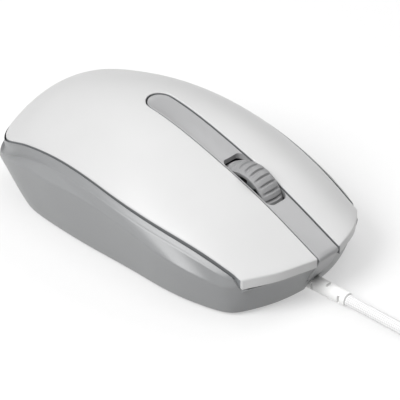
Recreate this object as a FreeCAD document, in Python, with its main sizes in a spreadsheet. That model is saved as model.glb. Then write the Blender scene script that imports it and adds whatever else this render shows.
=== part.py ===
import FreeCAD, Part
import os
import re
import Sketcher
from math import cos, pi, sin, sqrt, tan

# Wired three-button optical mouse.
# +Y points forward, to the end that the cord leaves, +X to the user's right, +Z up.
# The origin is on the table, under the middle of the mouse. Millimetres.

Vector = FreeCAD.Vector
UP, FORWARD, RIGHT = Vector(0, 0, 1), Vector(0, 1, 0), Vector(1, 0, 0)
doc = FreeCAD.newDocument("wired_mouse")
nodes = {}

# ---------------------------------------------------------------- driving dimensions

SIZES = {
    # shells
    "case_wall": 2.0, "base_level": 0.8, "base_bevel": 0.8, "floor_thick": 1.8,
    "cover_thick": 2.1,
    "cover_gap": 0.35, "cover_depth": 3.4, "ledge_width": 1.2, "lip_drop": 3.3,
    "crown_quartic": 0.21, "crown_reach": 29.0, "flex_line": -8.0, "flex_gap": 0.3,
    "slot_half": 4.4, "strip_half": 4.0, "slot_end": -5.9, "strip_sink": 0.25,
    "strip_thick": 1.9, "strip_dish": 0.6, "nose_bottom": 6.4,
    # scroll wheel, its carrier and the post pair that it tilts on
    "wheel_ahead": 27.6, "wheel_up": 19.7, "wheel_radius": 11.0, "tyre_width": 7.2,
    "tyre_thick": 2.4, "tread_grooves": 30, "hub_width": 4.6, "axle_radius": 1.2,
    "axle_reach": 6.4, "running_gap": 0.05, "window_half": 3.75, "window_reach": 9.23,
    "window_ahead": 29.62,
    "arm_inside": 4.0, "arm_thick": 1.4, "arm_tall": 4.0, "pivot_ahead": 11.0,
    "pivot_up": 13.0, "pivot_reach": 8.6, "post_inside": 5.9, "post_thick": 2.0,
    "press_ahead": 31.0, "press_side": 11.8, "tab_level": 15.85,
    # circuit board and what stands on it
    "board_level": 6.8, "board_thick": 1.6, "board_half": 20.0, "board_rear": -19.0,
    "board_front": 46.5, "board_corner": 4.0, "board_top": 8.4,
    "screw_side": 17.0, "screw_rear": -14.0, "support_ahead": 6.0,
    "switch_long": 12.8, "switch_wide": 5.8, "switch_tall": 6.5, "switch_side": 13.5,
    "switch_ahead": 39.5, "plunger_long": 2.9, "plunger_wide": 1.2, "plunger_tall": 1.6,
    "plunger_top": 15.8, "sensor_ahead": -3.0, "lamp_ahead": -13.5, "lamp_up": 11.3,
    # underside
    "foot_long": 26.0, "foot_wide": 6.0, "foot_front": 38.5, "foot_rear": -38.5,
    "case_screw_rear": -38.0, "boss_top": 12.0,
    # cord, strain relief and plug
    "cord_diameter": 3.2, "cord_level": 3.3, "relief_radius": 2.2, "relief_end": 64.2,
    "coil_x": -17.0, "coil_y": 115.0, "coil_mean": 19.0, "coil_layers": 2,
    "layer_turns": 5.42, "coil_lift": 0.6, "lead_diameter": 2.4,
    "plug_long": 26.0, "plug_wide": 15.8, "plug_tall": 8.0, "shell_wide": 12.0,
    "shell_tall": 4.5, "shell_long": 14.5, "shell_wall": 0.3,
}

# Free-form lines of the case, as points (x, y, z) on the right half, from the middle of
# the back round the side to the middle of the front. The left half mirrors them. The
# eight points up to the key's outer corner are one curve, the last three are another.
LINES = {
    "base": [(0, -47), (15.5, -44.8), (24.2, -37.3), (27.1, -24.5), (28, -7.5),
             (28.1, 11.8), (27.8, 30), (25.2, 42.2), (23.3, 44.3), (12.5, 48.7), (0, 50.3)],
    "widest": [(0, -57.5, 12.8), (17.7, -53.1, 12), (27.5, -44.1, 14.9), (31.2, -30.2, 20.8),
               (32.1, -9.6, 22), (32.3, 12.8, 19.3), (30.3, 32.9, 15.3), (25.9, 44.9, 12.4),
               (23.9, 46.8, 9.7), (12.4, 53.3, 11.2), (0, 55.7, 11.6)],
    "seam": [(0, -56), (13.5, -54.8), (21.9, -48.3), (25.0, -37.6), (27.1, -21.1),
             (29.3, -2), (28.3, 22.2), (24.5, 44.3), (23.9, 46.9), (12.4, 53.9), (0, 56.3)],
}
CORNER = 8                  # how many points of each line belong to the side curve

# Outline of the keys' front edge, from the outer corner to the middle.
KEY_FRONT = [(23.9, 46.8), (16.0, 52.7), (9.3, 55.5), (0, 57.4)]

# Height of the crown along the middle, and how fast it falls towards the sides.
RIDGE = [(-58, 15.3), (-50, 25), (-42, 30.9), (-32, 34.6), (-20, 37.2), (-8, 37.6),
         (5, 35.4), (20, 31), (35, 25.7), (48, 19.8), (58, 15)]
FALL = [(-57, 0.0251), (-42, 0.0213), (-22, 0.0186), (0, 0.0142), (22, 0.0123), (48, 0.013)]

# The cord from the strain relief to the coil, and from the coil to the plug.
CORD_ROUTE = [(0, 64.2, 3.3), (-0.4, 74.5, 2.8), (-0.9, 85, 2.1), (1.6, 94, 1.75),
              (6.7, 100.8, 1.9), (9.96, 108.78, 2.2)]
TAIL_ROUTE = [(-24.16, 141.73, 5.4), (-33.5, 141, 5.1), (-43.5, 137.8, 4.3),
              (-51.5, 131.8, 3.6), (-56.2, 123.7, 3.6), (-57, 115, 4)]
LEAD_ROUTE = [(0, 46.3, 3.3), (0, 40.5, 4.1), (-7, 36, 4.3), (-15, 32.5, 4.3),
              (-22, 29, 5), (-24.9, 23.5, 8), (-26.4, 17.2, 10.9), (-23.3, 14.4, 11.2)]


def fill_sheet():
    sheet = doc.addObject("Spreadsheet::Sheet", "Sizes")
    for row, (alias, value) in enumerate(SIZES.items(), 1):
        sheet.set(f"A{row}", alias)
        sheet.set(f"B{row}", str(value))
        sheet.setAlias(f"B{row}", alias)
    doc.recompute()
    return sheet


sheet = fill_sheet()


def size(alias):
    return float(sheet.get(alias))


# ---------------------------------------------------------------- small helpers

def sized(text):
    """An expression in the sheet's aliases, such as 'board_top + 2'."""
    return re.sub(r"[a-z][a-z_]*", lambda word: "Sizes." + word.group(), str(text))


def bind(thing, values):
    for name, text in values.items():
        thing.setExpression(name, sized(text))


def place(thing, at, turn=None):
    """Puts a thing at an expression for each coordinate, turned as (axis, degrees)."""
    if turn:
        thing.Placement = FreeCAD.Placement(Vector(), FreeCAD.Rotation(*turn))
    for axis, text in zip("xyz", at):
        thing.setExpression(f"Placement.Base.{axis}", sized(text))


def keep(thing, label):
    thing.Label = label
    nodes[label] = thing
    return thing


def block(long_x, long_y, tall, at, name="block"):
    """A box that stands on the middle of its bottom face."""
    box = doc.addObject("Part::Box", name)
    bind(box, {"Length": long_x, "Width": long_y, "Height": tall})
    place(box, (f"({at[0]}) - ({long_x}) / 2", f"({at[1]}) - ({long_y}) / 2", at[2]))
    return box


TURN_TO = {"z": None, "y": (RIGHT, -90), "x": (FORWARD, 90)}


def rod(radius, tall, at, along="z", name="rod"):
    """A cylinder from the middle of its first end."""
    cylinder = doc.addObject("Part::Cylinder", name)
    bind(cylinder, {"Radius": radius, "Height": tall})
    place(cylinder, at, TURN_TO[along])
    return cylinder


def join(things, name="join"):
    fused = doc.addObject("Part::MultiFuse", name)
    fused.Shapes = things
    fused.Refine = True
    return fused


def cut(base, tools, name="cut"):
    result = doc.addObject("Part::Cut", name)
    result.Base = base
    result.Tool = tools[0] if len(tools) == 1 else join(tools, name + "_tools")
    return result


def common(first, second, name="common"):
    result = doc.addObject("Part::Common", name)
    result.Base, result.Tool = first, second
    return result


def group(things, name):
    """Separate solids of one kind that share a node."""
    compound = doc.addObject("Part::Compound", name)
    compound.Links = things
    return compound


def origin_plane(body, role):
    return [part for part in body.Origin.OriginFeatures if part.Role == role][0]


def sketch_polygon(body, role, points, name):
    """A closed sketch whose corners are held at sheet expressions."""
    sketch = body.newObject("Sketcher::SketchObject", name)
    sketch.AttachmentSupport = [(origin_plane(body, role), "")]
    sketch.MapMode = "FlatFace"
    last = len(points) - 1
    guess = [Vector(*[evaluate(text) for text in point], 0) for point in points]
    for index in range(len(points)):
        following = 0 if index == last else index + 1
        sketch.addGeometry(Part.LineSegment(guess[index], guess[following]), False)
    for index, point in enumerate(points):
        before = last if index == 0 else index - 1
        sketch.addConstraint(Sketcher.Constraint("Coincident", before, 2, index, 1))
        for kind, text in zip(("DistanceX", "DistanceY"), point):
            value = evaluate(text)
            held = sketch.addConstraint(
                Sketcher.Constraint(kind, -1, 1, index, 1, value))
            sketch.setExpression(f"Constraints[{held}]", sized(text))
    return sketch


def evaluate(text):
    return float(sheet.evalExpression(sized(text).replace("Sizes.", "")))


def padded(label, points, tall, role="XY_Plane", at=("0", "0", "0")):
    """A body that is one closed outline padded up."""
    body = doc.addObject("PartDesign::Body", label)
    pad = body.newObject("PartDesign::Pad", label + "_pad")
    sketch = sketch_polygon(body, role, points, label + "_outline")
    pad.Profile = sketch
    bind(pad, {"Length": tall})
    body.Tip = pad
    place(body, at)
    return body


def turned(label, points, at=("0", "0", "0"), turn=None):
    """A body turned about its own Z from an outline of (radius, height) points."""
    body = doc.addObject("PartDesign::Body", label)
    sketch = sketch_polygon(body, "XZ_Plane", points, label + "_outline")
    solid = body.newObject("PartDesign::Revolution", label + "_turned")
    solid.Profile = sketch
    solid.ReferenceAxis = (sketch, ["V_Axis"])
    solid.Angle = 360
    body.Tip = solid
    place(body, at, turn)
    return body


def rectangle(wide, deep):
    return [(f"-({wide}) / 2", f"-({deep}) / 2"), (f"({wide}) / 2", f"-({deep}) / 2"),
            (f"({wide}) / 2", f"({deep}) / 2"), (f"-({wide}) / 2", f"({deep}) / 2")]


def round_edges(body, radius, pick):
    """Fillets the edges of a body's tip that pick(edge) chooses."""
    doc.recompute()
    tip = body.Tip
    names = [f"Edge{number}" for number, edge in enumerate(tip.Shape.Edges, 1) if pick(edge)]
    fillet = body.newObject("PartDesign::Fillet", body.Name + "_fillet")
    fillet.Base = (tip, names)
    bind(fillet, {"Radius": radius})
    body.Tip = fillet
    return fillet


def upright(edge):
    first, last = edge.Vertexes[0].Point, edge.Vertexes[-1].Point
    return abs(first.z - last.z) > 0.01 and abs(first.x - last.x) + abs(first.y - last.y) < 0.01


# ---------------------------------------------------------------- the crown of the case

def smooth(stations):
    """The smooth curve through (place, value) stations, as a function of the place."""
    curve = Part.BSplineCurve()
    curve.interpolate(Points=[Vector(place_, value * 100, 0) for place_, value in stations],
                      Parameters=[float(place_) for place_, _ in stations])
    return lambda at: curve.value(at).y / 100


ridge_height, side_fall = smooth(RIDGE), smooth(FALL)


def crown(x, y):
    """Height of the outside of the cover."""
    share = size("crown_quartic")
    bend = (1 - share) + share * (x / size("crown_reach")) ** 2
    inside = min(max(y, FALL[0][0]), FALL[-1][0])
    return ridge_height(min(max(y, -60), 60)) - side_fall(inside) * x * x * bend


def below_crown(depth):
    """Height function of the surface that lies a thickness under the crown."""
    step = 0.5

    def height(x, y):
        slope_x = (crown(x + step, y) - crown(x - step, y)) / (2 * step)
        slope_y = (crown(x, y + step) - crown(x, y - step)) / (2 * step)
        return crown(x, y) - depth * sqrt(1 + slope_x ** 2 + slope_y ** 2)
    return height


def under(height, name):
    """The space under a height function, as deep as the case."""
    grid = [[Vector(x, y, height(x, y)) for y in range(-60, 61, 5)]
            for x in range(-32, 33, 4)]
    surface = Part.BSplineSurface()
    surface.interpolate(grid)
    sheet_face = doc.addObject("Part::Feature", name + "_surface")
    sheet_face.Shape = surface.toShape()
    space = doc.addObject("Part::Extrusion", name)
    space.Base = sheet_face
    space.Dir = (0, 0, -1)
    space.DirMode = "Custom"
    space.LengthFwd = 60
    space.Solid = True
    return space


def line_points(name):
    """The right half of a case line. The seam lies on the crown, or under the key lips."""
    points = []
    for index, point in enumerate(LINES[name]):
        if name == "base":
            level = size("base_level") + size("base_bevel")
        elif name == "widest":
            level = point[2]
        else:
            level = crown(*point) - (size("lip_drop") if index >= CORNER else 0)
        points.append(Vector(point[0], point[1], level))
    return points


def inward(points, distances, levels):
    """The line moved into the case by a distance at each point, at new levels."""
    moved = []
    mirror = [Vector(-p.x, p.y, p.z) for p in points]
    for index, point in enumerate(points):
        before = points[index - 1] if index else mirror[1]
        after = points[index + 1] if index + 1 < len(points) else mirror[-2]
        along = Vector(after.x - before.x, after.y - before.y, 0)
        normal = Vector(-along.y, along.x, 0).normalize()
        shifted = point + normal * distances[index]
        moved.append(Vector(0 if point.x == 0 else shifted.x, shifted.y, levels[index]))
    return moved


def curve_through(points):
    curve = Part.BSplineCurve()
    curve.interpolate(Points=points)
    return curve.toShape()


def flip(point):
    return Vector(-point.x, point.y, point.z)


def ring(points, name):
    """A closed wire round the case: side curve, corner, front curve, corner."""
    side, front = points[:CORNER], points[CORNER:]
    back = [flip(point) for point in reversed(side[1:])] + side
    ahead = front + [flip(point) for point in reversed(front[:-1])]
    wire = doc.addObject("Part::Feature", name)
    wire.Shape = Part.Wire([
        curve_through(back),
        Part.LineSegment(side[-1], front[0]).toShape(),
        curve_through(ahead),
        Part.LineSegment(flip(front[0]), flip(side[-1])).toShape()])
    return wire


def build_tray():
    """The lower shell: up the outside, over the rim, down the ledge and the inside."""
    base, widest, seam = line_points("base"), line_points("widest"), line_points("seam")
    wall, depth, bevel = size("case_wall"), size("cover_depth"), size("base_bevel")
    bottom = inward(base, [bevel] * len(base), [size("base_level")] * len(base))
    sides, fronts = CORNER, len(base) - CORNER
    ledge = size("ledge_width")
    rim_foot = inward(seam, [0] * sides + [1.4] * fronts,
                      [point.z - depth for point in seam[:sides]] +
                      [point.z for point in seam[sides:]])
    shelf = inward(seam, [ledge] * sides + [2.0] * fronts,
                   [point.z - depth for point in seam[:sides]] +
                   [point.z - 0.9 for point in seam[sides:]])
    bulge = inward(widest, [wall] * len(base),
                   [min(outer.z - 1.0, inner.z - 0.6) for outer, inner in zip(widest, shelf)])
    floor_level = size("base_level") + size("floor_thick")
    floor = inward(base, [wall * 1.1] * len(base), [floor_level] * len(base))
    rings = [bottom, base, widest, seam, rim_foot, shelf, bulge, floor]
    loft = doc.addObject("Part::Loft", "tray")
    loft.Sections = [ring(points, f"tray_line_{index}") for index, points in enumerate(rings)]
    loft.Solid = True
    loft.Ruled = True
    return loft


def build_lower_case():
    floor = "base_level + floor_thick"
    post = "pivot_up + 2 - base_level - floor_thick"
    added = []
    for side in ("-", ""):
        added.append(block("post_thick", "4", post,
                           (f"{side}(post_inside + post_thick / 2)", "pivot_ahead", floor)))
        for ahead in ("screw_rear", "support_ahead"):
            added.append(rod("2.6", "board_level - base_level - floor_thick",
                             (f"{side}screw_side", ahead, floor)))
    added.append(rod("3.2", "boss_top - base_level - floor_thick",
                     ("0", "case_screw_rear", floor)))
    solid = join([build_tray()] + added, "tray_with_posts")
    removed = [
        block("2 * slot_half", "12", "30", ("0", "54", "nose_bottom - 0.3")),
        rod("relief_radius + running_gap", "12", ("0", "47.5", "cord_level"), "y"),
        block("2 * relief_radius + 2 * running_gap", "10", "cord_level", ("0", "54", "0")),
        block("8.4", "3.4", "8", ("0", "47.6", "base_level + 0.5")),
        block("3.2", "8", "4", ("0", "43", "base_level + 1.0")),
        block("9", "11", "6", ("0", "sensor_ahead", "0")),
        rod("2.3", "3.0", ("0", "case_screw_rear", "base_level - 1")),
        rod("1.3", "20", ("0", "case_screw_rear", "base_level - 1")),
        rod("axle_radius + running_gap", "30", ("-15", "pivot_ahead", "pivot_up"), "x"),
    ]
    removed += [rod("1.02", "7", (f"{side}screw_side", "screw_rear", floor))
                for side in ("-", "")]
    return keep(cut(solid, removed, "lower_case"), "lower_case")


# ---------------------------------------------------------------- cover, keys and strip

def cover_prism():
    """The plan of the cover, set in from the rim by the gap, as a tall prism."""
    seam = line_points("seam")
    gap = size("cover_gap")
    side = inward(seam, [gap] * len(seam), [0] * len(seam))[:CORNER]
    front = [Vector(x, y, 0) for x, y in KEY_FRONT]
    front[0] = Vector(front[0].x - gap, front[0].y, 0)
    back = [flip(point) for point in reversed(side[1:])] + side
    ahead = front + [flip(point) for point in reversed(front[:-1])]
    plan = doc.addObject("Part::Feature", "cover_plan")
    plan.Shape = Part.Face(Part.Wire([
        curve_through(back), Part.LineSegment(side[-1], front[0]).toShape(),
        curve_through(ahead), Part.LineSegment(flip(front[0]), flip(side[-1])).toShape()]))
    prism = doc.addObject("Part::Extrusion", "cover_prism")
    prism.Base = plan
    prism.Dir = (0, 0, 1)
    prism.DirMode = "Custom"
    prism.LengthFwd = 45
    prism.Solid = True
    return prism


def track(half, end, name):
    """The plan of the middle slot: straight sides and a round rear end, 50 high."""
    return join([block(f"2 * {half}", f"62 - {end}", "50", ("0", f"({end} + 62) / 2", "5")),
                 rod(half, "50", ("0", end, "5"))], name)


def build_cover():
    inner = under(below_crown(size("cover_thick")), "cover_inside")
    blank = cut(common(cover_prism(), under(crown, "cover_outside"), "cover_block"),
                [inner], "cover_blank")
    slotted = cut(blank, [track("slot_half", "slot_end", "slot")], "cover_slotted")
    keys_room = block("80", "80", "60", ("0", "flex_line + 40 - flex_gap / 2", "0"))
    boss = common(rod("3.2", "22", ("0", "case_screw_rear", "boss_top + 0.2")),
                  under(below_crown(size("cover_thick") / 2), "boss_limit"), "boss")
    palm = join([cut(slotted, [keys_room], "palm_shell"), boss], "palm_with_boss")
    screw_hole = rod("0.95", "12", ("0", "case_screw_rear", "boss_top - 1"))
    keep(cut(palm, [screw_hole], "top_cover"), "top_cover")
    for side, label in ((1, "right_key"), (-1, "left_key")):
        room = block("40", "80", "60", (str(20 * side), "flex_line + 40 + flex_gap / 2", "0"))
        post = block("3.4", "3.4", "3.8", (f"{side} * switch_side", "switch_ahead",
                                           "plunger_top + 0.05"))
        key = common(slotted, room, label + "_shell")
        keep(join([key, post], label), label)


def build_strip():
    """The strip between the keys: dished across, with the wheel window and a front nose."""
    dish, reach, half = size("strip_dish"), size("slot_half") * 10, size("strip_half")

    def dished(x, y):
        hollow = max(0, 1 - (x / half) ** 2) * min(1, max(0, (reach - y) / reach))
        return crown(x, y) - size("strip_sink") - dish * hollow

    inner = under(below_crown(size("strip_thick") + size("strip_sink")), "strip_inside")
    slab = cut(common(track("strip_half", "slot_end", "strip_track"),
                      under(dished, "strip_outside"), "strip_block"), [inner], "strip_slab")
    trim = block("20", "20", "60", ("0", "67.2", "0"))
    window = [block(f"2 * (window_half - {inset})", f"2 * (window_reach - {1.2 - inset})",
                    "60", ("0", "window_ahead", "0")) for inset in (0, 1.2)]
    window += [rod("1.2", "60", (f"{side} * (window_half - 1.2)",
                                 f"window_ahead + {end} * (window_reach - 1.2)", "0"))
               for side in (1, -1) for end in (1, -1)]
    nose = padded("strip_nose", [("52.0", "nose_bottom"), ("53.2", "nose_bottom"),
                                 ("55.7", "11.8"), ("56.3", "12.8"), ("57.2", "15"),
                                 ("54.5", "15.6")], "2 * strip_half", "YZ_Plane",
                  ("-strip_half", "0", "0"))
    tongue = block("6.4", "9", "1.1", ("0", "-9.5", "33.7"))
    riser = block("6.4", "2.4", "2.6", ("0", "-6.2", "33.7"))
    solid = join([cut(slab, [trim] + window, "strip_open"), nose, tongue, riser],
                 "centre_strip")
    keep(solid, "centre_strip")


# ---------------------------------------------------------------- underside

def oblong(label, long_x, wide_y, tall, at):
    """A flat piece with fully rounded ends."""
    body = padded(label, rectangle(long_x, wide_y), tall, at=at)
    round_edges(body, f"({wide_y}) / 2 - 0.01", upright)
    return body


def build_underside():
    for label, ahead in (("foot_front", "foot_front"), ("foot_rear", "foot_rear")):
        keep(oblong(label, "foot_long", "foot_wide", "base_level", ("0", ahead, "0")), label)
    label = padded("rating_label", rectangle("24", "14"), "0.15",
                   at=("0", "-22", "base_level - 0.15"))
    round_edges(label, "1", upright)
    keep(label, "rating_label")
    head, shank = "1.9", "1.1"
    screw = turned("case_screw", [("0", "0"), (head, "0"), (head, "1.3"), (shank, "1.7"),
                                  (shank, "13.6"), ("0", "14.4")],
                   ("0", "case_screw_rear", "base_level + 0.7"))
    keep(screw, "case_screw")


# ---------------------------------------------------------------- circuit board

def build_board():
    corner, half = "board_corner", "board_half"
    body = padded("main_board", [
        (f"-{half}", "board_rear"), (half, "board_rear"),
        (half, f"board_front - {corner}"), (f"{half} - {corner}", "board_front"),
        (f"{corner} - {half}", "board_front"), (f"-{half}", f"board_front - {corner}")],
        "board_thick", at=("0", "0", "board_level"))
    removed = [
        block("14.4", "29", "8", ("0", "27", "4")),
        block("18.6", "4.6", "8", ("0", "pivot_ahead", "4")),
        rod("3.4", "8", ("0", "sensor_ahead", "4")),
    ]
    removed += [rod("1.1", "8", (f"{side}screw_side", "screw_rear", "4")) for side in ("-", "")]
    keep(cut(body, removed, "main_board_cut"), "main_board")
    screws = [turned(f"board_screw_{name}", [("0", "-5"), ("1", "-5"), ("1", "0"), ("1.8", "0"),
                                             ("1.8", "0.9"), ("0", "1.3")],
                     (f"{side}screw_side", "screw_rear", "board_top"))
              for name, side in (("left", "-"), ("right", ""))]
    keep(group(screws, "board_screws"), "board_screws")


def build_switch(label, x, y, plunger_y):
    """A snap-action switch: a case with a well, and the plunger that stands in it."""
    case = block("switch_wide", "switch_long", "switch_tall", (x, y, "board_top"))
    well = block("plunger_wide + 0.2", "plunger_long + 0.2", "3",
                 (x, plunger_y, "plunger_top - plunger_tall - 0.8"))
    keep(cut(case, [well], label), label + "_switch")
    plunger = block("plunger_wide", "plunger_long", "plunger_tall",
                    (x, plunger_y, "plunger_top - plunger_tall"))
    keep(plunger, label + "_plunger")


def build_electronics():
    build_switch("left", "-switch_side", "switch_ahead", "switch_ahead")
    build_switch("right", "switch_side", "switch_ahead", "switch_ahead")
    build_switch("middle", "-press_side", "press_ahead - 5", "press_ahead")
    chip = padded("sensor_chip", rectangle("9.9", "9.1"), "3.2",
                  at=("0", "sensor_ahead", "board_top"))
    keep(chip, "sensor_chip")
    plate = block("15", "22", "1.2", ("0", "sensor_ahead", "base_level + floor_thick"))
    barrel = rod("3.1", "2.8", ("0", "sensor_ahead", "base_level + floor_thick + 1.2"))
    window = block("8.6", "10.6", "1.5", ("0", "sensor_ahead", "base_level + 0.3"))
    keep(join([plate, barrel, window], "lens"), "sensor_lens")
    lamp = turned("lamp", [("0", "-4"), ("2.9", "-4"), ("2.9", "-3"), ("2.5", "-3"),
                           ("2.5", "3"), ("1.6", "4.6"), ("0", "5.2")],
                  ("0", "lamp_ahead", "lamp_up"), (RIGHT, -90))
    keep(lamp, "sensor_lamp")
    clip = cut(block("8", "5.2", "6.4", ("0", "lamp_ahead", "board_top")),
               [rod("2.55", "12", ("0", "lamp_ahead - 6", "lamp_up"), "y")], "clip")
    keep(clip, "lamp_clip")
    can = turned("capacitor", [("0", "0"), ("2.5", "0"), ("2.5", "5.4"), ("2.2", "5.8"),
                               ("0", "5.8")], ("14", "20", "board_top"))
    keep(can, "capacitor")
    chips = [block("1.6", "0.8", "0.5", (str(9.5 + 2.6 * column), str(-2.0 + 3.2 * row),
                                         "board_top"), "resistor")
             for column in range(3) for row in range(2)]
    keep(group(chips, "resistors_group"), "resistors")
    for label, side in (("wheel_emitter", "-"), ("wheel_receiver", "")):
        eye = join([block("1.6", "4", "5.8", (f"{side}7.9", "wheel_ahead - 6", "board_top")),
                    rod("0.7", "0.8", ("7.1 - 0.7" if not side else "-7.1", "wheel_ahead - 6",
                                       "board_top + 4"), "x")], label)
        keep(eye, label)
    socket = padded("cord_socket", rectangle("5", "10"), "5.6", at=("-16.8", "14", "board_top"))
    keep(socket, "cord_socket")
    keep(block("4", "8.4", "4.2", ("-21.3", "14", "board_top + 0.7"), "socket_plug"),
         "socket_plug")


# ---------------------------------------------------------------- scroll wheel

def build_wheel():
    edge, half = "wheel_radius", "tyre_width / 2"
    at = ("0", "wheel_ahead", "wheel_up")
    tyre = turned("wheel_tyre", [
        ("wheel_radius - tyre_thick", f"-{half} + 0.6"), (f"{edge} - 1.1", f"-{half}"),
        (f"{edge} - 0.3", f"-{half} + 0.9"), (edge, f"-{half} + 2.2"),
        (edge, f"{half} - 2.2"), (f"{edge} - 0.3", f"{half} - 0.9"),
        (f"{edge} - 1.1", half), ("wheel_radius - tyre_thick", f"{half} - 0.6")],
        at, (FORWARD, 90))
    groove = tyre.newObject("PartDesign::Pocket", "tread_groove")
    sketch = sketch_polygon(tyre, "XY_Plane", [(f"{edge} - 0.5", "-0.3"), (f"{edge} + 1", "-0.6"),
                                               (f"{edge} + 1", "0.6"), (f"{edge} - 0.5", "0.3")],
                            "groove_outline")
    groove.Profile = sketch
    groove.Midplane = True
    bind(groove, {"Length": "tyre_width + 1"})
    tyre.Tip = groove
    doc.recompute()
    treads = tyre.newObject("PartDesign::PolarPattern", "tread")
    treads.Originals = [groove]
    treads.Axis = ([part for part in tyre.Origin.OriginFeatures if part.Role == "Z_Axis"][0],
                   [""])
    treads.Angle = 360
    bind(treads, {"Occurrences": "tread_grooves"})
    tyre.Tip = treads
    keep(tyre, "wheel_tyre")
    rim = "wheel_radius - tyre_thick"
    hub = turned("wheel_hub_turned", [
        ("0", "-axle_reach"), ("axle_radius", "-axle_reach"), ("axle_radius", "-hub_width / 2"),
        (rim, "-hub_width / 2"), (rim, "hub_width / 2"), ("axle_radius", "hub_width / 2"),
        ("axle_radius", "axle_reach"), ("0", "axle_reach")], at, (FORWARD, 90))
    windows = []
    for index in range(8):
        turn = FreeCAD.Rotation(RIGHT, 45 * index)
        spoke = doc.addObject("Part::Box", "spoke_window")
        bind(spoke, {"Length": "hub_width + 2", "Width": "2.6", "Height": "3.6"})
        offset = turn.multVec(Vector(-3.3, -1.3, 4.2))
        spoke.Placement = FreeCAD.Placement(offset, turn)
        for axis, text in zip("xyz", (str(offset.x), f"wheel_ahead + ({offset.y})",
                                      f"wheel_up + ({offset.z})")):
            spoke.setExpression(f"Placement.Base.{axis}", sized(text))
        windows.append(spoke)
    keep(cut(hub, windows, "hub_with_windows"), "wheel_hub")


def build_carrier():
    """The cradle that holds the wheel and tilts on two pins to press the middle switch."""
    arm = padded("carrier_arm", [
        ("pivot_ahead - 2.2", "pivot_up - 2"), ("pivot_ahead + 2.5", "pivot_up - 2"),
        ("wheel_ahead - 2", "wheel_up - 2.6"), ("press_ahead + 2.5", "wheel_up - 2.6"),
        ("press_ahead + 2.5", "wheel_up + 2.2"), ("wheel_ahead - 3", "wheel_up + 2.2"),
        ("pivot_ahead - 2.2", "pivot_up + 2")], "arm_thick", "YZ_Plane", ("arm_inside", "0", "0"))
    arms = [arm]
    twin = doc.addObject("Part::Mirroring", "carrier_arm_left")
    twin.Source = arm
    twin.Normal = (1, 0, 0)
    arms.append(twin)
    bridge = block("2 * (arm_inside + arm_thick)", "2.4", "3.6", ("0", "pivot_ahead - 1",
                                                                   "pivot_up - 1.8"))
    pins = [rod("axle_radius", "pivot_reach - arm_inside - 1",
                ("arm_inside + 1", "pivot_ahead", "pivot_up"), "x"),
            rod("axle_radius", "pivot_reach - arm_inside - 1",
                ("-pivot_reach", "pivot_ahead", "pivot_up"), "x")]
    tabs = [block("press_side + 1.5 - arm_inside", "3", "1.4",
                  (f"{side}(press_side + 1.5 + arm_inside) / 2", "press_ahead", "tab_level"))
            for side in ("-", "")]
    solid = join(arms + [bridge] + pins + tabs, "carrier_solid")
    bearing = rod("axle_radius + running_gap", "20", ("-10", "wheel_ahead", "wheel_up"), "x")
    keep(cut(solid, [bearing], "carrier"), "wheel_carrier")


def build_spring():
    """The return spring under the carrier's right tab, between the board and the tab."""
    wire, radius, turns, steps, spare = 0.45, 1.6, 5, 12, 0.05
    tall = size("tab_level") - size("board_top") - wire - 2 * spare
    line = Part.BSplineCurve()
    line.interpolate(Points=[
        Vector(radius * cos(2 * pi * step / steps), radius * sin(2 * pi * step / steps),
               tall * step / (turns * steps)) for step in range(turns * steps + 1)])
    heading = line.tangent(line.FirstParameter)[0]
    section = Part.Wire(Part.Circle(line.value(line.FirstParameter), heading,
                                    wire / 2).toShape())
    spring = doc.addObject("Part::Feature", "carrier_spring")
    spring.Shape = Part.Wire(line.toShape()).makePipeShell([section], True, False)
    place(spring, ("press_side", "press_ahead", f"board_top + {wire / 2 + spare}"))
    keep(spring, "carrier_spring")


# ---------------------------------------------------------------- cord and plug

def rounded_path(points):
    """Straight runs joined by tangent arcs as large as the runs allow, and its length."""
    points = [Vector(*point) for point in points]
    edges, here = [], points[0]
    for before, corner, after in zip(points, points[1:], points[2:]):
        into, out = (corner - before), (after - corner)
        turn = into.getAngle(out)
        reach = 0.45 * min(into.Length, out.Length)
        radius = reach / tan(turn / 2)
        start = corner - into.normalize() * reach
        end = corner + out.normalize() * reach
        inner = (out - into).normalize()
        middle = corner + inner * (sqrt(radius ** 2 + reach ** 2) - radius)
        edges.append(Part.LineSegment(here, start).toShape())
        edges.append(Part.Arc(start, middle, end).toShape())
        print(f"  arc radius {radius:.1f}")
        here = end
    edges.append(Part.LineSegment(here, points[-1]).toShape())
    wire = Part.Wire(edges)
    return wire, wire.Length


def tube(route, diameter, label):
    """A plain round tube along a route."""
    print(label)
    wire, long = rounded_path(route)
    start, heading = Vector(*route[0]), Vector(*route[1]) - Vector(*route[0])
    circle = Part.Wire(Part.Circle(start, heading, diameter / 2).toShape())
    solid = wire.makePipeShell([circle], True, False)
    part = doc.addObject("Part::Feature", label)
    part.Shape = solid
    expected = pi * diameter ** 2 / 4 * long
    print(f"  length {long:.1f}, volume {solid.Volume:.1f}, section by length {expected:.1f}")
    return keep(part, label)


def build_relief():
    """The bend relief on the cord: a flange inside the case, a slit sleeve outside."""
    flange = block("7.6", "2.6", "4.4", ("0", "47.6", "base_level + 0.7"))
    sleeve = rod("relief_radius", "relief_end - 48", ("0", "48", "cord_level"), "y")
    slit, pitch, deep, long = 0.8, 4.7, 0.9, 3.6
    slits = []
    for index in range(3):
        ahead = str(52.9 + pitch * index)
        for side in (1, -1):
            if index % 2:
                at = ("0", ahead, f"cord_level + {side} * relief_radius - {deep}")
                slits.append(block(str(long), str(slit), str(2 * deep), at))
            else:
                at = (f"{side} * relief_radius", ahead, f"cord_level - {long / 2}")
                slits.append(block(str(2 * deep - 0.6), str(slit), str(long), at))
    keep(cut(join([flange, sleeve], "relief_solid"), slits, "strain_relief"), "strain_relief")


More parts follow.
